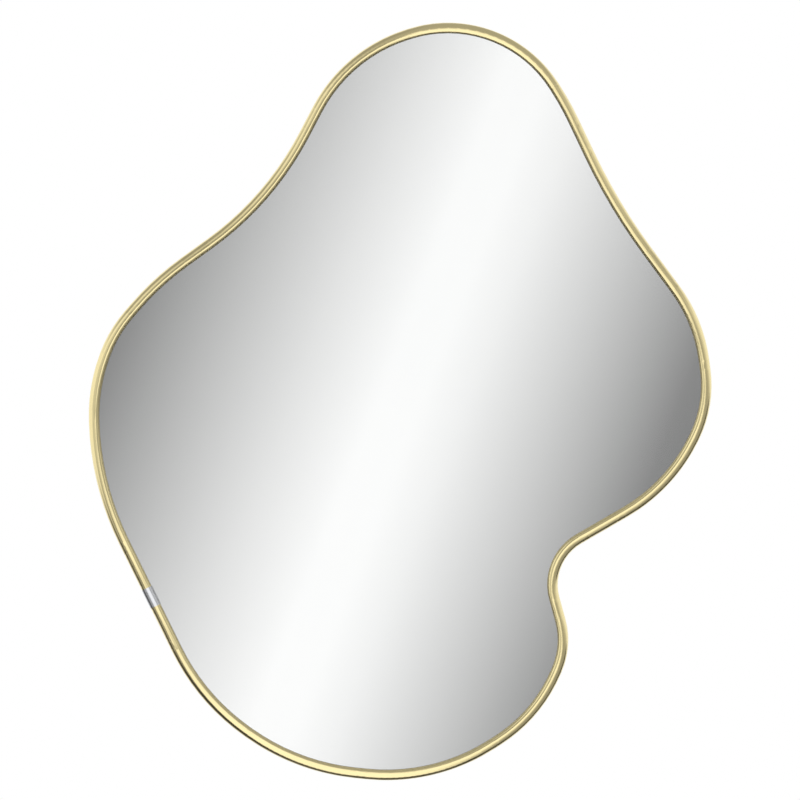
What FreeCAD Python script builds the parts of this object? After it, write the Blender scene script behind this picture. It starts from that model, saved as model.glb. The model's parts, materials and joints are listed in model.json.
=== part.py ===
"""Irregular shaped wall mirror: a bent metal frame strip round a glass and board package.

Millimetres. +X is right and +Z is up as seen from the front, and the front faces -Y. The wall plane is
y = 0, and the origin is the centre of the outline's bounding box on that plane.
"""
import math
import os

import FreeCAD, Part

Vector = FreeCAD.Vector

# The outline, clockwise from the top as seen from the front: corner x, corner z, radius of its rounding.
OUTLINE_CORNERS = (
    (117, 452, 150),
    (191, 337, 330),
    (245, 223, 640),
    (341, 93, 180),
    (354, -5, 137),
    (308, -99, 200),
    (168, -180, 53),
    (194, -274, 90),
    (159, -356, 175),
    (40, -432, 225),
    (-118, -416, 255),
    (-228, -338, 250),
    (-347, -96, 335),
    (-351, 17, 200),
    (-327, 81, 150),
    (-277, 139, 320),
    (-151, 230, 345),
    (-64, 396, 180),
)
ROUNDING_SHARE = 0.98  # most of a side that the roundings at its two ends may take

# The frame's section. Insets are measured inwards from the outline.
FACE_WIDTH = 11.4  # of the round front
NOSE_INNER_RADIUS = 3.7  # from the crown to the glass
NOSE_OUTER_DEPTH = 9.5  # from the crown to the straight side wall
LIP_EDGE = 1.3  # slanted edge behind the round front, next to the glass
LIP_SLANT = 0.6  # how far that edge reaches over the glass
WALL = 2.0
RIB_THICKNESS = 1.4
RIB_WIDTH = 8.0  # from the side wall inwards
RECESS = 6.5  # from the rib to the wall plane
SEAM_GAP = 0.3
SEAM_OFFSET = -2.0  # from the middle of its side, against the clockwise way

# The layers from the glass to the board.
GASKET_THICKNESS = 0.5
GASKET_EDGE = 1.0  # from the glass's edge inwards
GASKET_SETBACK = 1.0  # behind the lip's inner edge, so that it hides
GLASS_THICKNESS = 4.0
COATING_THICKNESS = 0.1
FILM_THICKNESS = 0.2
TAPE_THICKNESS = 1.0
TAPE_WIDTH = 24.0
TAPE_INSET = 30.0
TAPE_STRIPS = 6
BOARD_THICKNESS = 9.0
BOARD_CLEARANCE = 0.3  # between the board and the rib
EDGE_CLEARANCE = 0.5  # between the layers and the side wall

# The sleeve over the seam, and the plate behind it.
SLEEVE_LENGTH = 22.6
SLEEVE_WALL = 0.5
SLEEVE_SETBACK = 1.0  # from the wall plane
PLATE_LENGTH = 60.0
PLATE_THICKNESS = 1.2
PLATE_CLEARANCE = 0.3  # between the plate and the side wall
PLATE_WIDTH = 7.0
PLATE_CORNER = 1.5
PLATE_SCREWS_FROM_SEAM = (9.0, 23.0)
PLATE_SCREW_BITE = 6.0  # depth in the board

# The two D-ring hangers.
HANGER_HEIGHT = 180.0  # of the rings' axis above the origin
HANGER_SPACING = 260.0
WIRE_RADIUS = 1.1
EYE_CLEARANCE = 0.08  # between the wire and the rolled eye
EYE_LIFT = 0.4  # from the board to the eye's outside
STRAP_THICKNESS = 1.2
STRAP_WIDTH = 12.0
STRAP_CORNER = 3.0
RING_SIDE_GAP = 2.0  # between the eye's end and the wire
RING_CORNER = 2.2  # radius of the wire's centre line
RING_LEG = 8.0  # from the axis to the round end's centre
STRAP_SCREW_GAP = 3.5  # between the ring's end and the first screw's head
STRAP_SCREW_SPACING = 13.0
STRAP_END = 6.0  # beyond the second screw's middle
STRAP_SCREW_BITE = 7.0  # depth in the board

# Screws: head radius, head height, shank radius.
PLATE_SCREW = (2.3, 1.4, 1.1)
STRAP_SCREW = (3.2, 1.8, 1.5)
SCREW_HOLE_CLEARANCE = 0.1
SCREW_POINT = 2.0  # length of the pointed end
CROSS_WIDTH = 0.7  # slots of the cross recess
CROSS_DEPTH = 0.8
HEAD_EDGE_SHARE = 0.5  # height of the head's straight edge as a part of the head

# Rubber pads behind the board, each at the rounding of one corner of the outline.
PAD_CORNERS = (0, 4, 9, 13)
PAD_INSET = 42.0
PAD_RADIUS = 6.0
PAD_CHAMFER = 0.8

# Planes along Y, from the wall plane forwards.
RIB_REAR = -RECESS
RIB_FRONT = RIB_REAR - RIB_THICKNESS
BOARD_REAR = RIB_FRONT - BOARD_CLEARANCE
BOARD_FRONT = BOARD_REAR - BOARD_THICKNESS
FILM_REAR = BOARD_FRONT - TAPE_THICKNESS
COATING_REAR = FILM_REAR - FILM_THICKNESS
GLASS_REAR = COATING_REAR - COATING_THICKNESS
GLASS_FRONT = GLASS_REAR - GLASS_THICKNESS
LIP_BACK = GLASS_FRONT - GASKET_THICKNESS
NOSE_BASE = LIP_BACK - LIP_EDGE
CROWN = NOSE_BASE - NOSE_INNER_RADIUS
SHOULDER = CROWN + NOSE_OUTER_DEPTH

# Places that several pieces share.
LAYER_INSET = WALL + EDGE_CLEARANCE
CROWN_INSET = FACE_WIDTH - NOSE_INNER_RADIUS
RING_HALF_WIDTH = STRAP_WIDTH / 2 + RING_SIDE_GAP + WIRE_RADIUS
RING_REACH = RING_LEG + RING_HALF_WIDTH + WIRE_RADIUS
FIRST_SCREW_DROP = RING_REACH + STRAP_SCREW_GAP + STRAP_SCREW[0]
STRAP_LENGTH = FIRST_SCREW_DROP + STRAP_SCREW_SPACING + STRAP_END
EYE_BORE = WIRE_RADIUS + EYE_CLEARANCE
EYE_RADIUS = EYE_BORE + STRAP_THICKNESS
RING_AXIS_Y = BOARD_REAR + EYE_LIFT + EYE_RADIUS
BACKWARDS = Vector(0, 1, 0)
FORWARDS = Vector(0, -1, 0)


# ---- the outline ------------------------------------------------------------------------------

class Rounding:
    """One rounded corner of the outline: where it starts, its centre and how far it turns."""

    def __init__(self, corner, heading, next_heading, radius):
        across = heading.cross(next_heading).dot(FORWARDS)
        self.turn = math.atan2(across, heading.dot(next_heading))
        self.heading = heading
        self.next_heading = next_heading
        reach = radius * math.tan(abs(self.turn) / 2)
        self.start = corner - heading * reach
        self.end = corner + next_heading * reach
        self.side = 1 if self.turn > 0 else -1
        self.centre = self.start - inwards(heading) * (radius * self.side)

    def at(self, share, inset=0.0):
        """The point at a share of the turn, moved inwards by an inset."""
        spoke = self.start + inwards(self.heading) * inset - self.centre
        turned = FreeCAD.Rotation(FORWARDS, math.degrees(self.turn * share)).multVec(spoke)
        return self.centre + turned


def inwards(heading):
    """The direction into the mirror, at right angles to a clockwise heading."""
    return heading.cross(FORWARDS)


def roundings(corners):
    """The rounded corners of a closed outline, each small enough for its two sides."""
    count = len(corners)
    points = [Vector(x, 0, z) for x, z, _ in corners]
    sides = [points[(i + 1) % count] - points[i] for i in range(count)]
    headings = [side * (1 / side.Length) for side in sides]
    wanted = []
    for i in range(count):
        turn = headings[i - 1].getAngle(headings[i])
        wanted.append(corners[i][2] * math.tan(turn / 2))
    rooms = []
    for i in range(count):
        taken = wanted[i] + wanted[(i + 1) % count]
        rooms.append(min(1.0, ROUNDING_SHARE * sides[i].Length / taken))
    made = []
    for i in range(count):
        radius = corners[i][2] * min(rooms[i - 1], rooms[i])
        made.append(Rounding(points[i], headings[i - 1], headings[i], radius))
    return made


def closed_wire(outline, inset, y):
    """The outline moved inwards by an inset, as a closed wire at depth y."""
    shift = Vector(0, y, 0)
    edges = []
    for rounding, following in zip(outline, outline[1:] + outline[:1]):
        first, middle, last = (rounding.at(share, inset) + shift for share in (0, 0.5, 1))
        edges.append(Part.Arc(first, middle, last).toShape())
        edges.append(Part.makeLine(last, following.at(0, inset) + shift))
    return Part.Wire(edges)


def centred(corners):
    """The corners, moved so that the centre of the outline's box is the origin."""
    box = closed_wire(roundings(corners), 0, 0).BoundBox
    return [(x - box.Center.x, z - box.Center.z, radius) for x, z, radius in corners]


def sheet(outline, inset, front, rear):
    """A flat layer with the outline's shape, from one depth to another."""
    return Part.Face(closed_wire(outline, inset, front)).extrude(BACKWARDS * (rear - front))


class Seam:
    """Where the frame's ends meet: the middle of the longest straight side."""

    def __init__(self, outline):
        sides = list(zip(outline, outline[1:] + outline[:1]))
        before, after = max(sides, key=lambda side: (side[1].start - side[0].end).Length)
        self.before = before
        self.along = before.next_heading
        self.middle = (before.end + after.start) * 0.5 + self.along * SEAM_OFFSET

    def point(self, along, inset=0.0):
        """A point on the seam's side, at a distance along it and inwards from it."""
        return self.middle + self.along * along + inwards(self.along) * inset


# ---- sections that are swept along the outline ------------------------------------------------

def section_face(edges_of, start, heading):
    """A section given in inset and depth, placed at a point of the outline."""
    def place(inset, y):
        return start + inwards(heading) * inset + Vector(0, y, 0)
    return Part.Face(Part.Wire(edges_of(place)))


def lines(place, points):
    """Straight edges through points given as inset and depth."""
    placed = [place(*point) for point in points]
    return [Part.makeLine(a, b) for a, b in zip(placed, placed[1:])]


def quarter_round(start, corner, end):
    """A quarter of an ellipse between two points, square to the sides of a corner."""
    curve = Part.BezierCurve()
    curve.setPoles([start, corner, end])
    curve.setWeight(2, math.sqrt(0.5))
    return curve.toShape()


def nose(place, thickness=0.0):
    """The round front from the side wall over its crown to the glass, or a skin's outside on it."""
    near, far, top = -thickness, FACE_WIDTH + thickness, CROWN - thickness
    crown = place(CROWN_INSET, top)
    return [
        quarter_round(place(near, SHOULDER), place(near, top), crown),
        quarter_round(crown, place(far, top), place(far, NOSE_BASE)),
    ]


def frame_section(place):
    """The frame strip's section: round nose, lip, side wall and rib."""
    return nose(place) + lines(place, (
        (FACE_WIDTH, NOSE_BASE),
        (FACE_WIDTH + LIP_SLANT, LIP_BACK),
        (WALL, LIP_BACK),
        (WALL, RIB_FRONT),
        (WALL + RIB_WIDTH, RIB_FRONT),
        (WALL + RIB_WIDTH, RIB_REAR),
        (WALL, RIB_REAR),
        (WALL, 0),
        (0, 0),
        (0, SHOULDER),
    ))


def sleeve_section(place):
    """The sleeve's section: a wall round the frame's outside and nose."""
    far = FACE_WIDTH + SLEEVE_WALL
    inner_leg = lines(place, (
        (far, NOSE_BASE),
        (far + LIP_SLANT, LIP_BACK),
        (FACE_WIDTH + LIP_SLANT, LIP_BACK),
        (FACE_WIDTH, NOSE_BASE),
    ))
    outer_leg = lines(place, (
        (0, SHOULDER),
        (0, -SLEEVE_SETBACK),
        (-SLEEVE_WALL, -SLEEVE_SETBACK),
        (-SLEEVE_WALL, SHOULDER),
    ))
    return nose(place, SLEEVE_WALL) + inner_leg + nose(place)[::-1] + outer_leg


def straight_run(section, start, end):
    """A section pushed from one point of the outline straight to another."""
    run = end - start
    return section_face(section, start, run * (1 / run.Length)).extrude(run)


def turned_run(section, rounding):
    """A section turned round one rounded corner."""
    face = section_face(section, rounding.start, rounding.heading)
    return face.revolve(rounding.centre, FORWARDS * rounding.side, math.degrees(abs(rounding.turn)))


def frame_strip(outline, seam):
    """The frame strip, bent round the outline and open at the seam."""
    runs = []
    for rounding, following in zip(outline, outline[1:] + outline[:1]):
        runs.append(turned_run(frame_section, rounding))
        if rounding is seam.before:
            runs.append(straight_run(frame_section, rounding.end, seam.point(-SEAM_GAP / 2)))
            runs.append(straight_run(frame_section, seam.point(SEAM_GAP / 2), following.start))
        else:
            runs.append(straight_run(frame_section, rounding.end, following.start))
    return runs[0].multiFuse(runs[1:]).removeSplitter()


# ---- screws -----------------------------------------------------------------------------------

def screw(at, size, length):
    """A round-headed wood screw whose head rests at a point and whose shank goes forwards."""
    head_radius, head_height, shank_radius = size
    edge = head_height * HEAD_EDGE_SHARE
    profile = Part.Wire([
        Part.makeLine(Vector(0, -length, 0), Vector(shank_radius, SCREW_POINT - length, 0)),
        Part.makeLine(Vector(shank_radius, SCREW_POINT - length, 0), Vector(shank_radius, 0, 0)),
        Part.makeLine(Vector(shank_radius, 0, 0), Vector(head_radius, 0, 0)),
        Part.makeLine(Vector(head_radius, 0, 0), Vector(head_radius, edge, 0)),
        dome(head_radius, edge, head_height),
        Part.makeLine(Vector(0, head_height, 0), Vector(0, -length, 0)),
    ])
    body = Part.Face(profile).revolve(Vector(), BACKWARDS, 360)
    slot = Part.makeBox(2 * shank_radius, CROSS_DEPTH, CROSS_WIDTH)
    slot.translate(Vector(-shank_radius, head_height - CROSS_DEPTH, -CROSS_WIDTH / 2))
    crossing = slot.copy()
    crossing.rotate(Vector(), BACKWARDS, 90)
    body = body.cut(slot.fuse(crossing))
    body.translate(at)
    return body


def dome(radius, base, top):
    """The arc of a head's rounded top, from its edge to its middle."""
    rise = top - base
    sphere = (radius ** 2 + rise ** 2) / (2 * rise)
    half_angle = math.asin(radius / sphere) / 2
    middle = Vector(sphere * math.sin(half_angle), top - sphere + sphere * math.cos(half_angle), 0)
    return Part.Arc(Vector(radius, base, 0), middle, Vector(0, top, 0)).toShape()


def screw_hole(at, size, length):
    """The hole that a screw's shank goes through."""
    return Part.makeCylinder(size[2] + SCREW_HOLE_CLEARANCE, length, at, FORWARDS)


# ---- the seam's plate -------------------------------------------------------------------------

def plate_screw_points(seam):
    """Where the heads of the plate's screws rest."""
    inset = WALL + PLATE_CLEARANCE + PLATE_WIDTH / 2
    height = Vector(0, RIB_REAR + PLATE_THICKNESS, 0)
    distances = [side * distance for side in (-1, 1) for distance in PLATE_SCREWS_FROM_SEAM]
    return [seam.point(distance, inset) + height for distance in distances]


def joint_plate(seam):
    """The plate that lies on the rib and ties the frame's two ends."""
    near = WALL + PLATE_CLEARANCE
    half = PLATE_LENGTH / 2
    corners = [
        seam.point(-half, near),
        seam.point(half, near),
        seam.point(half, near + PLATE_WIDTH),
        seam.point(-half, near + PLATE_WIDTH),
    ]
    plate = Part.Face(Part.makePolygon(corners + corners[:1])).extrude(BACKWARDS * PLATE_THICKNESS)
    plate.translate(Vector(0, RIB_REAR, 0))
    return plate.makeFillet(PLATE_CORNER, edges_along(plate, BACKWARDS))


def edges_along(shape, direction):
    """The straight edges of a shape that run along a direction."""
    tolerance = 1e-6
    found = []
    for edge in shape.Edges:
        run = edge.Vertexes[-1].Point - edge.Vertexes[0].Point
        if run.Length > tolerance and run.cross(direction).Length < tolerance * run.Length:
            found.append(edge)
    return found


# ---- the D-ring hangers -----------------------------------------------------------------------

def hanger_strap(axis):
    """A strap with a rolled eye at its top, flat on the board."""
    left = axis.x - STRAP_WIDTH / 2
    barrel = Part.makeCylinder(EYE_RADIUS, STRAP_WIDTH, Vector(left, axis.y, axis.z), Vector(1, 0, 0))
    tongue = Part.makeBox(STRAP_WIDTH, STRAP_THICKNESS, STRAP_LENGTH)
    tongue.translate(Vector(left, BOARD_REAR, axis.z - STRAP_LENGTH))
    low_edges = [e for e in edges_along(tongue, BACKWARDS) if e.CenterOfMass.z < axis.z - STRAP_LENGTH / 2]
    tongue = tongue.makeFillet(STRAP_CORNER, low_edges)
    bore = Part.makeCylinder(EYE_BORE, STRAP_WIDTH, Vector(left, axis.y, axis.z), Vector(1, 0, 0))
    strap = barrel.fuse(tongue).cut(bore)
    holes = [screw_hole(point, STRAP_SCREW, STRAP_THICKNESS) for point in strap_screw_points(axis)]
    return strap.cut(holes).removeSplitter()


def strap_screw_points(axis):
    """Where the heads of a strap's screws rest, below the hanging ring."""
    first = axis.z - FIRST_SCREW_DROP
    heights = (first, first - STRAP_SCREW_SPACING)
    return [Vector(axis.x, BOARD_REAR + STRAP_THICKNESS, z) for z in heights]


def hanger_ring(axis):
    """A D of round wire that hangs from its straight side."""
    across = RING_HALF_WIDTH - RING_CORNER
    right = Vector(1, 0, 0)
    up = Vector(0, 0, 1)
    pin = Part.makeCylinder(WIRE_RADIUS, 2 * across, axis - right * across, right)
    legs_length = RING_LEG - RING_CORNER
    runs = []
    for side in (-1, 1):
        edge = axis + right * (side * RING_HALF_WIDTH)
        runs.append(Part.makeCylinder(WIRE_RADIUS, legs_length, edge - up * RING_LEG, up))
        centre = axis + right * (side * across) - up * RING_CORNER
        runs.append(wire_bend(centre, up * RING_CORNER, right, side * 90))
    bottom = axis - up * RING_LEG
    runs.append(wire_bend(bottom, right * RING_HALF_WIDTH, up, 180))
    return pin.multiFuse(runs).removeSplitter()


def wire_bend(centre, spoke, normal, angle):
    """Round wire bent about a centre from the end of a spoke, in the plane of the ring."""
    disc = Part.Face(Part.Wire(Part.makeCircle(WIRE_RADIUS, centre + spoke, normal)))
    return disc.revolve(centre, BACKWARDS, angle)


# ---- small parts of the package ---------------------------------------------------------------

def edge_gasket(outline):
    """The foam ring between the lip and the glass."""
    ring = sheet(outline, LAYER_INSET + GASKET_EDGE, LIP_BACK, GLASS_FRONT)
    return ring.cut(sheet(outline, FACE_WIDTH - GASKET_SETBACK, LIP_BACK, GLASS_FRONT))


def tape_strips(outline):
    """Level strips of foam tape, evenly spaced from the bottom to the top."""
    field = sheet(outline, TAPE_INSET, FILM_REAR, BOARD_FRONT)
    box = field.BoundBox
    pitch = box.ZLength / TAPE_STRIPS
    strips = []
    for index in range(TAPE_STRIPS):
        middle = box.ZMin + pitch * (index + 0.5)
        band = Part.makeBox(box.XLength, box.YLength, TAPE_WIDTH)
        band.translate(Vector(box.XMin, box.YMin, middle - TAPE_WIDTH / 2))
        strips.append(field.common(band))
    return strips


def wall_pad(rounding):
    """A round rubber pad between the board and the wall plane."""
    at = rounding.at(0.5, PAD_INSET)
    height = -BOARD_REAR
    pad = Part.makeCylinder(PAD_RADIUS, height, Vector(at.x, BOARD_REAR, at.z), BACKWARDS)
    rear_rim = [e for e in pad.Edges if e.BoundBox.YMin > -PAD_CHAMFER and e.Closed]
    return pad.makeChamfer(PAD_CHAMFER, rear_rim)


# ---- the whole mirror -------------------------------------------------------------------------

def build():
    """Every sub-part by its name."""
    outline = roundings(centred(OUTLINE_CORNERS))
    seam = Seam(outline)
    glass = sheet(outline, LAYER_INSET, GLASS_FRONT, GLASS_REAR)
    middle_x = glass.CenterOfMass.x

    plate_points = plate_screw_points(seam)
    plate_length = PLATE_THICKNESS + RIB_THICKNESS + BOARD_CLEARANCE + PLATE_SCREW_BITE
    plate_holes = [screw_hole(point, PLATE_SCREW, plate_length) for point in plate_points]
    strap_length = STRAP_THICKNESS + STRAP_SCREW_BITE

    nodes = {
        "frame_rim": frame_strip(outline, seam).cut(plate_holes),
        "joint_sleeve": straight_run(
            sleeve_section, seam.point(-SLEEVE_LENGTH / 2), seam.point(SLEEVE_LENGTH / 2)
        ),
        "joint_plate": joint_plate(seam).cut(plate_holes),
        "joint_screws": Part.Compound([screw(at, PLATE_SCREW, plate_length) for at in plate_points]),
        "edge_gasket": edge_gasket(outline),
        "mirror_glass": glass,
        "silver_coating": sheet(outline, LAYER_INSET, GLASS_REAR, COATING_REAR),
        "safety_film": sheet(outline, LAYER_INSET, COATING_REAR, FILM_REAR),
    }
    for index, strip in enumerate(tape_strips(outline), 1):
        nodes[f"tape_strip_{index}"] = strip

    holes = list(plate_holes)
    for name, side in (("left", -1), ("right", 1)):
        axis = Vector(middle_x + side * HANGER_SPACING / 2, RING_AXIS_Y, HANGER_HEIGHT)
        points = strap_screw_points(axis)
        holes += [screw_hole(point, STRAP_SCREW, strap_length) for point in points]
        nodes[f"hanger_strap_{name}"] = hanger_strap(axis)
        nodes[f"hanger_ring_{name}"] = hanger_ring(axis)
        screws = [screw(point, STRAP_SCREW, strap_length) for point in points]
        nodes[f"hanger_screws_{name}"] = Part.Compound(screws)
        print(f"ring axis {name}: {axis.x:.3f} {axis.y:.3f} {axis.z:.3f}")
    nodes["backing_board"] = sheet(outline, LAYER_INSET, BOARD_FRONT, BOARD_REAR).cut(holes)
    for index, corner in enumerate(PAD_CORNERS, 1):
        nodes[f"wall_pad_{index}"] = wall_pad(outline[corner])
    return nodes


def main():
    os.makedirs("parts", exist_ok=True)
    for name, shape in build().items():
        shape.exportStep(f"parts/{name}.step")
        box = shape.BoundBox
        print(
            f"{name}: {len(shape.Solids)} solids, valid {shape.isValid()}, {shape.Volume:.1f} mm3, "
            f"x {box.XMin:.2f} {box.XMax:.2f} y {box.YMin:.2f} {box.YMax:.2f} z {box.ZMin:.2f} {box.ZMax:.2f}"
        )


main()
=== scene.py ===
"""Looks of the irregular shaped wall mirror: materials, studio and camera.

Metres. +X is right and +Z is up as seen from the front, and the mirror faces -Y from the wall plane y = 0.
"""
import json
import math

import bmesh
import bpy
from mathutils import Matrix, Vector

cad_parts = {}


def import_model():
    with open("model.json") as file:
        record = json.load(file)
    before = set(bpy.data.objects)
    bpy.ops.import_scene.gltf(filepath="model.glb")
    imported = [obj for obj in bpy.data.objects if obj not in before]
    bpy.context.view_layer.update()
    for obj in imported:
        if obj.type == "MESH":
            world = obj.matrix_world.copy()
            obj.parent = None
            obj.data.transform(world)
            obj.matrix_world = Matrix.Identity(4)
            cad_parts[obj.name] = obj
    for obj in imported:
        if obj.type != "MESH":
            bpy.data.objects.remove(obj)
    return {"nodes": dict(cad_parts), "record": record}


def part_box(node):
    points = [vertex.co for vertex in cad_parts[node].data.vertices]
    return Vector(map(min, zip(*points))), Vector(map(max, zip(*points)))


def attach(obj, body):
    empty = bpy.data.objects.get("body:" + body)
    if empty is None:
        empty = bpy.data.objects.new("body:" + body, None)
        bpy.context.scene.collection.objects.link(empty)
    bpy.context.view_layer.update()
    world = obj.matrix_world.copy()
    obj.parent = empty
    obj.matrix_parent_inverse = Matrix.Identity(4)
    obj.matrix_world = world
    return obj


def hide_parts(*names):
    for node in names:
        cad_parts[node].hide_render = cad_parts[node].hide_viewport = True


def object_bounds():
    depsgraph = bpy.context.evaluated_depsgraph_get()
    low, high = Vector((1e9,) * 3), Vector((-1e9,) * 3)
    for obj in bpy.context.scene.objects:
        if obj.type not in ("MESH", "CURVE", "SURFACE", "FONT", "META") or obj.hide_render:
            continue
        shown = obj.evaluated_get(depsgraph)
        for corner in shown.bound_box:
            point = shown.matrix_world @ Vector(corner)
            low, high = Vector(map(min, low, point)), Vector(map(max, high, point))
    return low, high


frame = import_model()
cad_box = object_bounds()
nodes = frame["nodes"]

# The view: a long lens straight from the front, on the middle of the picture.
PICTURE_WIDTH = 0.8981  # what the picture spans at the frame's widest plane
PICTURE_CENTRE = (-0.0002, 0.0016)
FRAME_SHOULDER_Y = -0.0185  # the frame's widest plane
CAMERA_DISTANCE = 12.0
SENSOR = 36.0  # mm

FLOOR_DROP = 0.16  # of the floor below the mirror's lowest point
FLOOR_RADIUS = 2.4
FLOOR_FADE_START = 1.08  # the floor is whole up to here and gone at its edge
FLOOR_SIDES = 96
FLOOR_GLOW = 0.30

WHITE = (1.0, 1.0, 1.0)
AMBIENT = (0.62, 0.62, 0.62)  # what the world gives to matte parts
LAMP_SIDE = 1.6
LAMP_POWER = 42.0
LAMP_PLACES = {"key_lamp": (-1.6, -2.4, 2.0), "back_lamp": (1.4, 2.2, 1.8)}

# The studio as the mirror shows it: soft strip lights that lean like the band in the picture.
STRIP_LEAN = 0.385  # how far the band moves sideways for a step down
STRIP_PITCH = 0.736  # between two strips, on the mirror
# Across one strip on the mirror, from its middle: place and light.
STRIP_PROFILE = (
    (-0.368, 0.17),
    (-0.120, 0.777),
    (-0.0246, 0.99),
    (0.0246, 0.99),
    (0.075, 0.90),
    (0.179, 0.61),
    (0.315, 0.22),
    (0.368, 0.17),
)

# The studio where metal and mirror show each other: two heights of a ray, and the light at each.
DARK_BELOW_HEIGHTS = (-0.45, 0.20)
DARK_BELOW_LIGHTS = (0.07, 0.52)

# The studio as the metal shows it: an even surround and soft round lights and dark places over it.
SURROUND = 0.30
# Direction, full and fading angle in degrees, light.
STUDIO_LOBES = (
    ((0.15, -0.94, 0.31), 0, 20, 1.47),
    ((0.02, -0.73, -0.69), 42, 50, 1.42),
    ((-0.69, 0.33, 0.64), 55, 84, 1.18),
    ((0.44, 0.71, 0.55), 19, 139, 1.12),
    ((-0.67, 0.26, -0.69), 17, 37, 0.06),
    ((0.02, 0.48, -0.88), 20, 28, 0.11),
    ((0.77, 0.21, -0.60), 28, 36, 0.06),
    ((0.14, -0.10, 0.99), 42, 62, 0.51),
    ((0.80, -0.31, -0.51), 0, 48, 0.42),
    ((-0.60, 0.12, 0.79), 0, 36, 0.41),
    ((-0.61, -0.79, 0.10), 1, 26, 0.81),
)

GOLD = (0.79, 0.68, 0.37)
CHROME = (0.69, 0.70, 0.72)

ARRIS = 0.0004  # ground edge of the glass
SILVER_GAP = 0.00003  # between the glass and the silver
SAME_PLACE = 0.00001  # points nearer than this count as one
WALL_SLOPE = 0.5  # a face is a side wall where its normal's y is below this
SHARPEST_TURN = 0.5  # bounds how far an inset corner moves, as the cosine of half its turn


# ---- node helpers -----------------------------------------------------------------------------

class Tree:
    """A node tree that is written as a chain of short calls."""

    def __init__(self, owner):
        owner.use_nodes = True
        self.tree = owner.node_tree
        self.tree.nodes.clear()

    def add(self, kind, inputs=None, **settings):
        """A node of a kind, with its settings and its inputs as values or sockets."""
        node = self.tree.nodes.new(kind)
        for name, value in settings.items():
            setattr(node, name, value)
        for name, value in (inputs or {}).items():
            socket = node.inputs[name]
            if isinstance(value, bpy.types.NodeSocket):
                self.tree.links.new(value, socket)
            else:
                socket.default_value = value
        return node

    def math(self, operation, first, second=0.0, third=0.0, clamp=False):
        """The result of an operation on values or sockets."""
        inputs = {0: first, 1: second, 2: third}
        return self.add("ShaderNodeMath", inputs, operation=operation, use_clamp=clamp).outputs[0]

    def place(self):
        """Coordinates fixed to the part, in metres."""
        return self.add("ShaderNodeTexCoord").outputs["Object"]

    def stretched(self, scale):
        """Coordinates of the part, scaled along each axis."""
        mapping = self.add("ShaderNodeMapping", {"Vector": self.place(), "Scale": scale})
        return mapping.outputs[0]

    def noise(self, scale, detail=4.0, roughness=0.55, vector=None, distortion=0.0):
        """Cloudy noise between 0 and 1, most of it from 0.3 to 0.7."""
        inputs = {
            "Vector": vector or self.place(),
            "Scale": scale,
            "Detail": detail,
            "Roughness": roughness,
            "Distortion": distortion,
        }
        return self.add("ShaderNodeTexNoise", inputs).outputs["Fac"]

    def spread(self, value, low, high, start=0.3, end=0.7):
        """A value from one range to another."""
        inputs = {"Value": value, "From Min": start, "From Max": end, "To Min": low, "To Max": high}
        return self.add("ShaderNodeMapRange", inputs).outputs[0]

    def ramp(self, value, stops):
        """A colour by a value, from pairs of place and colour."""
        node = self.add("ShaderNodeValToRGB", {"Fac": value})
        points = node.color_ramp.elements
        while len(points) < len(stops):
            points.new(0.5)
        for point, (at, colour) in zip(points, stops):
            point.position = at
            point.color = (*colour, 1)
        return node.outputs[0]

    def grey(self, value):
        """A value as a grey colour."""
        return self.add("ShaderNodeCombineColor", {0: value, 1: value, 2: value}).outputs[0]

    def mix(self, share, first, second):
        """A mix of two colours."""
        node = self.add("ShaderNodeMix", {"Factor": share}, data_type="RGBA")
        for index, value in ((6, first), (7, second)):
            if isinstance(value, bpy.types.NodeSocket):
                self.tree.links.new(value, node.inputs[index])
            else:
                node.inputs[index].default_value = (*value, 1)
        return node.outputs[2]

    def bump(self, height, strength, distance):
        """A normal that makes the surface look raised by a height, up to a distance in metres."""
        inputs = {"Height": height, "Strength": strength, "Distance": distance}
        return self.add("ShaderNodeBump", inputs).outputs[0]

    def surface(self, shader):
        """Gives the material its shader."""
        self.add("ShaderNodeOutputMaterial", {"Surface": shader})

    def principled(self, inputs):
        """Gives the material a principled shader with these inputs."""
        self.surface(self.add("ShaderNodeBsdfPrincipled", inputs).outputs[0])


def material(name, colour):
    """A new material with a plain colour for solid view, and its tree."""
    made = bpy.data.materials.new(name)
    made.diffuse_color = (*colour, 1)
    return made, Tree(made)


def shade(colour, factor):
    """A colour made lighter or darker."""
    return tuple(min(1.0, part * factor) for part in colour)


# ---- materials --------------------------------------------------------------------------------

def gold():
    """Gold anodised metal strip: satin with a fine grain and soft clouds in the dye."""
    made, tree = material("frame_gold", GOLD)
    clouds = tree.noise(9.0, 3.0)
    grain = tree.noise(1400.0, 3.0)
    colour = tree.ramp(clouds, ((0.3, shade(GOLD, 0.965)), (0.7, shade(GOLD, 1.03))))
    rough = tree.math("ADD", tree.spread(grain, 0.15, 0.21), tree.spread(clouds, -0.015, 0.015))
    tree.principled({
        "Base Color": colour,
        "Metallic": 1.0,
        "Roughness": rough,
        "Normal": tree.bump(grain, 0.12, 0.00002),
    })
    return made


def chrome():
    """Bright sleeve with the fine polishing lines that run round it."""
    made, tree = material("sleeve_chrome", CHROME)
    lines = tree.noise(900.0, 2.0, vector=tree.stretched((0.12, 1.0, 1.0)))
    wear = tree.noise(160.0, 5.0)
    colour = tree.ramp(wear, ((0.35, shade(CHROME, 0.95)), (0.65, CHROME)))
    rough = tree.math("ADD", tree.spread(lines, 0.16, 0.24), tree.spread(wear, -0.02, 0.02))
    tree.principled({
        "Base Color": colour,
        "Metallic": 1.0,
        "Roughness": rough,
        "Normal": tree.bump(lines, 0.1, 0.00002),
    })
    return made


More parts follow.
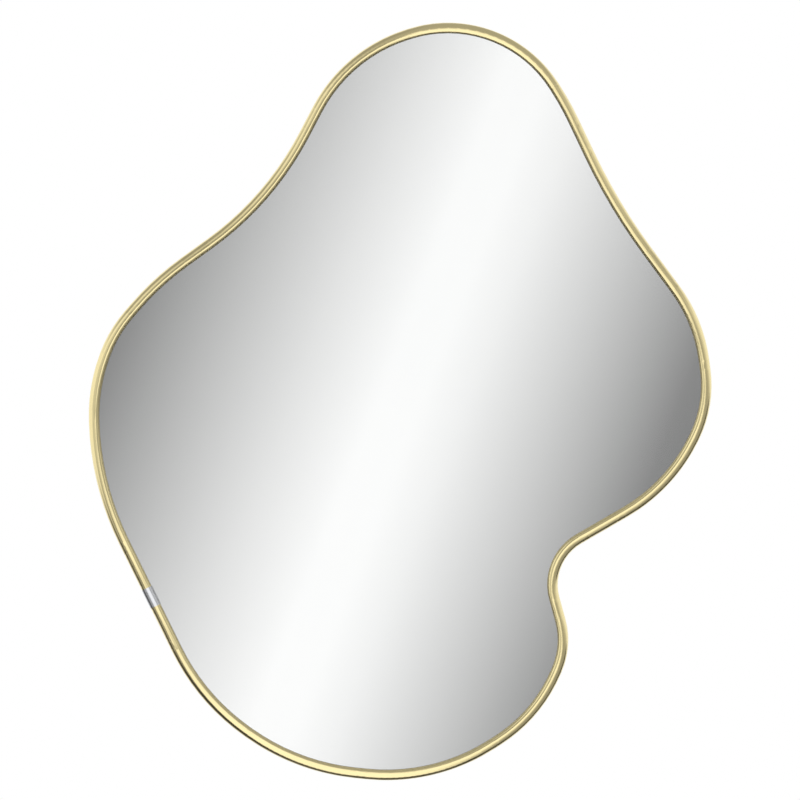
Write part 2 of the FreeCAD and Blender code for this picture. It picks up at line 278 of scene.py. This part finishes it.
def glass():
    """Clear float glass with a slight green cast."""
    made, tree = material("mirror_glass", (0.93, 0.97, 0.95))
    clouds = tree.noise(2.5, 2.0)
    colour = tree.ramp(clouds, ((0.3, (0.984, 0.988, 0.986)), (0.7, (0.988, 0.991, 0.989))))
    tree.principled({
        "Base Color": colour,
        "Roughness": 0.0,
        "IOR": 1.5,
        "Transmission Weight": 1.0,
    })
    return made


def silver():
    """The reflecting layer behind the glass."""
    made, tree = material("mirror_silver", (0.92, 0.93, 0.93))
    clouds = tree.noise(3.0, 3.0)
    colour = tree.ramp(clouds, ((0.3, (0.985, 0.987, 0.985)), (0.7, (0.995, 0.996, 0.994))))
    tree.principled({
        "Base Color": colour,
        "Metallic": 1.0,
        "Roughness": 0.0,
    })
    return made


def fibre_board():
    """Raw fibre board: pressed brown fibres, a few pale threads, dark specks and soft blotches."""
    base = (0.42, 0.29, 0.17)
    made, tree = material("board_fibre", base)
    blotches = tree.noise(6.0, 4.0)
    fibres = tree.noise(420.0, 6.0, 0.7, distortion=1.2)
    specks = tree.noise(1500.0, 2.0)
    colour = tree.ramp(fibres, ((0.28, shade(base, 0.55)), (0.5, base), (0.72, shade(base, 1.38))))
    dark = tree.math("LESS_THAN", specks, 0.36)
    colour = tree.mix(tree.math("MULTIPLY", dark, 0.55), colour, shade(base, 0.3))
    threads = tree.noise(260.0, 2.0, vector=tree.stretched((1.0, 1.0, 0.12)))
    pale = tree.math("GREATER_THAN", threads, 0.66)
    colour = tree.mix(tree.math("MULTIPLY", pale, 0.35), colour, shade(base, 1.7))
    colour = tree.mix(tree.spread(blotches, 0.0, 0.45), colour, shade(base, 0.75))
    tree.principled({
        "Base Color": colour,
        "Roughness": tree.spread(fibres, 0.78, 0.92),
        "Normal": tree.bump(fibres, 0.35, 0.0002),
    })
    return made


def zinc():
    """Zinc plated steel: grey with faint blue and yellow clouds and fine rolling marks."""
    base = (0.62, 0.63, 0.64)
    made, tree = material("steel_zinc", base)
    clouds = tree.noise(140.0, 4.0)
    marks = tree.noise(700.0, 3.0, vector=tree.stretched((1.0, 1.0, 0.15)))
    colour = tree.ramp(clouds, ((0.3, (0.56, 0.59, 0.64)), (0.5, base), (0.7, (0.68, 0.66, 0.60))))
    rough = tree.math("ADD", tree.spread(marks, 0.24, 0.36), tree.spread(clouds, -0.04, 0.06))
    tree.principled({
        "Base Color": colour,
        "Metallic": 1.0,
        "Roughness": rough,
        "Normal": tree.bump(marks, 0.15, 0.00004),
    })
    return made


def soft(name, base, rough, pore_scale, depth):
    """A matte rubber or foam with pores of a depth in metres."""
    made, tree = material(name, base)
    pores = tree.noise(pore_scale, 5.0, 0.65)
    clouds = tree.noise(60.0, 3.0)
    colour = tree.ramp(pores, ((0.3, shade(base, 0.7)), (0.7, shade(base, 1.25))))
    tree.principled({
        "Base Color": tree.mix(tree.spread(clouds, 0.0, 0.3), colour, shade(base, 1.4)),
        "Roughness": tree.spread(pores, rough - 0.06, rough + 0.06),
        "Normal": tree.bump(pores, 0.5, depth),
    })
    return made


def film():
    """Grey protective film with a faint crinkle."""
    base = (0.62, 0.64, 0.66)
    made, tree = material("safety_film", base)
    crinkle = tree.noise(45.0, 5.0, distortion=0.8)
    tree.principled({
        "Base Color": tree.ramp(crinkle, ((0.3, shade(base, 0.92)), (0.7, shade(base, 1.06)))),
        "Roughness": tree.spread(crinkle, 0.42, 0.58),
        "Normal": tree.bump(crinkle, 0.3, 0.0002),
    })
    return made


def dress():
    """Gives each node of the frame the material of its slot in the record."""
    made = {
        "frame_gold": gold(),
        "sleeve_chrome": chrome(),
        "mirror_glass": glass(),
        "mirror_silver": silver(),
        "board_fibre": fibre_board(),
        "steel_zinc": zinc(),
        "pad_rubber": soft("pad_rubber", (0.035, 0.035, 0.036), 0.72, 900.0, 0.0001),
        "gasket_foam": soft("gasket_foam", (0.05, 0.05, 0.05), 0.85, 1800.0, 0.0001),
        "tape_foam": soft("tape_foam", (0.72, 0.72, 0.70), 0.85, 1500.0, 0.0001),
        "safety_film": film(),
    }
    for part in frame["record"]["subparts"]:
        node = nodes[part["node"]]
        node.data.materials.clear()
        node.data.materials.append(made[part["material_slot"]])
    return made


# ---- pieces that stand for a node of the frame ------------------------------------------------

def outline_of(node, y):
    """The points, in order, of the closed edge where a flat layer's side wall meets depth y."""
    source = bmesh.new()
    source.from_mesh(nodes[node].data)
    bmesh.ops.remove_doubles(source, verts=source.verts, dist=SAME_PLACE)
    following = {}
    for edge in source.edges:
        on_plane = all(abs(vert.co.y - y) < SAME_PLACE for vert in edge.verts)
        slopes = sorted(abs(face.normal.y) for face in edge.link_faces)
        if on_plane and slopes[0] < WALL_SLOPE < slopes[-1]:
            for vert in edge.verts:
                following.setdefault(vert, []).append(edge.other_vert(vert))
    at = min(following, key=lambda vert: vert.co.x)
    points = []
    while at is not None:
        points.append(at.co.copy())
        neighbours = following.pop(at)
        at = next((vert for vert in neighbours if vert in following), None)
    source.free()
    return points


def moved_in(points, inset):
    """A closed outline in the plane of the mirror, moved inwards."""
    area = sum(a.x * b.z - b.x * a.z for a, b in zip(points, points[1:] + points[:1]))
    side = inset if area > 0 else -inset
    moved = []
    for before, at, after in zip(points[-1:] + points[:-1], points, points[1:] + points[:1]):
        first = (at - before).normalized()
        second = (after - at).normalized()
        along = (first + second).normalized()
        spread = max(along.dot(first), SHARPEST_TURN)
        moved.append(at + Vector((-along.z, 0, along.x)) * (side / spread))
    return moved


def glass_sheet():
    """The glass with ground edges, a hair in front of the silver so that light passes both faces."""
    low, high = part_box("mirror_glass")
    edge = outline_of("mirror_glass", low.y)
    rear = high.y - SILVER_GAP
    rings = (
        (moved_in(edge, ARRIS), low.y),
        (edge, low.y + ARRIS),
        (edge, rear - ARRIS),
        (moved_in(edge, ARRIS), rear),
    )
    made = bmesh.new()
    verts = [[made.verts.new((point.x, y, point.z)) for point in ring] for ring, y in rings]
    count = len(edge)
    for ring, next_ring in zip(verts, verts[1:]):
        for i in range(count):
            j = (i + 1) % count
            made.faces.new((ring[i], ring[j], next_ring[j], next_ring[i]))
    made.faces.new(verts[0])
    made.faces.new(verts[-1][::-1])
    bmesh.ops.recalc_face_normals(made, faces=made.faces)
    mesh = bpy.data.meshes.new("mirror_glass_sheet")
    made.to_mesh(mesh)
    made.free()
    sheet = bpy.data.objects.new("mirror_glass_sheet", mesh)
    bpy.context.scene.collection.objects.link(sheet)
    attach(sheet, "mirror")
    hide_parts("mirror_glass")
    return sheet


# ---- studio -----------------------------------------------------------------------------------

def world():
    """White round the picture, even light on the part, and a soft studio in what shines."""
    made = bpy.data.worlds.new("studio")
    bpy.context.scene.world = made
    tree = Tree(made)
    path = tree.add("ShaderNodeLightPath").outputs
    ray = tree.add("ShaderNodeTexCoord").outputs["Generated"]
    through = tree.math("GREATER_THAN", path["Transmission Depth"], 0.5)
    once = tree.mix(through, metal_surroundings(tree, ray), strip_lights(tree, ray))
    shining = tree.mix(mirrored_again(tree, path), once, dark_below(tree, ray))
    colour = tree.mix(path["Is Glossy Ray"], AMBIENT, shining)
    colour = tree.mix(path["Is Camera Ray"], colour, WHITE)
    background = tree.add("ShaderNodeBackground", {"Color": colour, "Strength": 1.0})
    tree.add("ShaderNodeOutputWorld", {"Surface": background.outputs[0]})


def strip_lights(tree, ray):
    """Soft strip lights side by side, brightest in their middle."""
    parts = tree.add("ShaderNodeSeparateXYZ", {0: ray}).outputs
    across = tree.math("MULTIPLY_ADD", parts[2], -STRIP_LEAN, parts[0])
    turns = tree.math("MULTIPLY_ADD", across, CAMERA_DISTANCE / STRIP_PITCH, 0.5)
    stops = [(0.5 + at / STRIP_PITCH, (light, light, light)) for at, light in STRIP_PROFILE]
    return tree.ramp(tree.math("FRACT", turns), stops)


def mirrored_again(tree, path):
    """1 for a ray that has met both the metal and the mirror."""
    return tree.math("COMPARE", path["Glossy Depth"], 2.0, 0.5)


def dark_below(tree, ray):
    """What metal and mirror show of each other: dark low down and paler higher up."""
    height = tree.add("ShaderNodeSeparateXYZ", {0: ray}).outputs[2]
    return tree.grey(tree.spread(height, *DARK_BELOW_LIGHTS, *DARK_BELOW_HEIGHTS))


def lobe(tree, ray, towards, inner, outer):
    """1 within a cone about a direction and 0 outside a wider one, by the cosine."""
    axis = Vector(towards).normalized()
    cosine = tree.add("ShaderNodeVectorMath", {0: ray, 1: axis}, operation="DOT_PRODUCT").outputs["Value"]
    inputs = {
        "Value": cosine,
        "From Min": math.cos(math.radians(outer)),
        "From Max": math.cos(math.radians(inner)),
    }
    return tree.add("ShaderNodeMapRange", inputs, interpolation_type="SMOOTHSTEP").outputs[0]


def metal_surroundings(tree, ray):
    """The studio in the metal, each light laid over those before it."""
    value = SURROUND
    for towards, inner, outer, light in STUDIO_LOBES:
        share = lobe(tree, ray, towards, inner, outer)
        value = tree.add("ShaderNodeMix", {"Factor": share, "A": value, "B": light}).outputs[0]
    return tree.grey(value)


def floor():
    """A pale floor that keeps the object's shadow. Bare metal and second reflections don't show it."""
    low = (0, 0, cad_box[0].z - FLOOR_DROP)
    bpy.ops.mesh.primitive_circle_add(
        vertices=FLOOR_SIDES, radius=FLOOR_RADIUS, fill_type="NGON", location=low,
    )
    made = bpy.context.object
    made.name = "floor"
    look, tree = material("floor", (0.9, 0.9, 0.9))
    made.data.materials.append(look)
    path = tree.add("ShaderNodeLightPath").outputs
    lit = floor_light(tree, path)
    clear = tree.add("ShaderNodeBsdfTransparent").outputs[0]
    mixed = tree.add("ShaderNodeMixShader", {0: floor_gone(tree, path), 1: lit, 2: clear})
    tree.surface(mixed.outputs[0])
    made.visible_glossy = False


def floor_light(tree, path):
    """Matte pale ground with a faint grain, and a glow where the eye or the mirror sees it."""
    grain = tree.noise(30.0, 4.0)
    matte = tree.add("ShaderNodeBsdfDiffuse", {
        "Color": tree.ramp(grain, ((0.3, (0.86, 0.86, 0.855)), (0.7, (0.90, 0.90, 0.895)))),
    })
    seen = tree.math("ADD", path["Is Camera Ray"], path["Is Glossy Ray"])
    seen = tree.math("ADD", seen, path["Is Transmission Ray"], clamp=True)
    glow = tree.add("ShaderNodeEmission", {"Strength": tree.math("MULTIPLY", seen, FLOOR_GLOW)})
    return tree.add("ShaderNodeAddShader", {0: matte.outputs[0], 1: glow.outputs[0]}).outputs[0]


def floor_gone(tree, path):
    """Where the floor is clear: towards its edge, from below, and in second reflections."""
    length = tree.add("ShaderNodeVectorMath", {0: tree.place()}, operation="LENGTH").outputs["Value"]
    fade = tree.spread(length, 0.0, 1.0, FLOOR_FADE_START, FLOOR_RADIUS)
    below = tree.add("ShaderNodeNewGeometry").outputs["Backfacing"]
    return tree.math("MAXIMUM", fade, tree.math("MAXIMUM", below, mirrored_again(tree, path)))


def lamps():
    """Soft square lamps that light the matte parts, and aren't seen in mirror or metal."""
    for name, at in LAMP_PLACES.items():
        data = bpy.data.lights.new(name, "AREA")
        data.shape = "SQUARE"
        data.size = LAMP_SIDE
        data.energy = LAMP_POWER
        lamp = bpy.data.objects.new(name, data)
        bpy.context.scene.collection.objects.link(lamp)
        lamp.location = at
        lamp.rotation_mode = "QUATERNION"
        lamp.rotation_quaternion = (-Vector(at)).to_track_quat("-Z", "Y")
        lamp.visible_glossy = False
        lamp.visible_transmission = False
        lamp.visible_camera = False


def camera():
    """The view from the front, with the picture's span set at the frame's widest plane."""
    data = bpy.data.cameras.new("camera")
    data.sensor_width = SENSOR
    data.lens = SENSOR * CAMERA_DISTANCE / PICTURE_WIDTH
    made = bpy.data.objects.new("camera", data)
    bpy.context.scene.collection.objects.link(made)
    made.location = (PICTURE_CENTRE[0], FRAME_SHOULDER_Y - CAMERA_DISTANCE, PICTURE_CENTRE[1])
    made.rotation_euler = (math.radians(90), 0, 0)
    bpy.context.scene.camera = made


bpy.context.scene.view_settings.view_transform = "Standard"
looks = dress()
glass_sheet().data.materials.append(looks["mirror_glass"])
world()
floor()
lamps()
camera()
